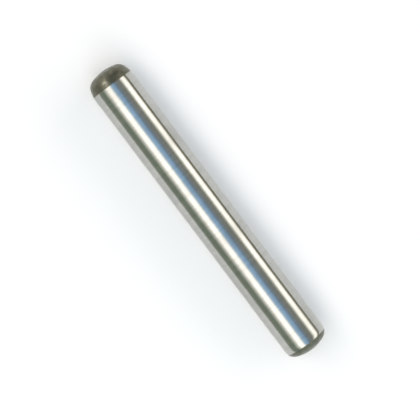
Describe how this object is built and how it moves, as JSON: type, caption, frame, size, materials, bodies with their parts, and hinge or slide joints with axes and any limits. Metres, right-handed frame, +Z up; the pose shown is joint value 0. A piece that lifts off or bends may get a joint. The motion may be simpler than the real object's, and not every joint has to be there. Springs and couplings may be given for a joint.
{
  "type": "dowel pin",
  "caption": "Straight hardened dowel pin with a bright ground cylindrical body, crowned ends left dark by hardening, and a short lead at its +X end.",
  "frame": {"origin": "on the surface that the pin lies on, below the middle of its length", "axes": "+X along the pin, from the plain end to the lead, and the pin's own axis runs parallel to it 3 mm above; +Z up from the surface that the pin lies on"},
  "size_m": [0.045, 0.006, 0.006],
  "materials": {
    "pin_steel": "bright ground body, with the dark satin skin of hardening left on both ends"
  },
  "bodies": {
    "root": {"dowel_pin": "pin_steel"}
  },
  "joints": []
}
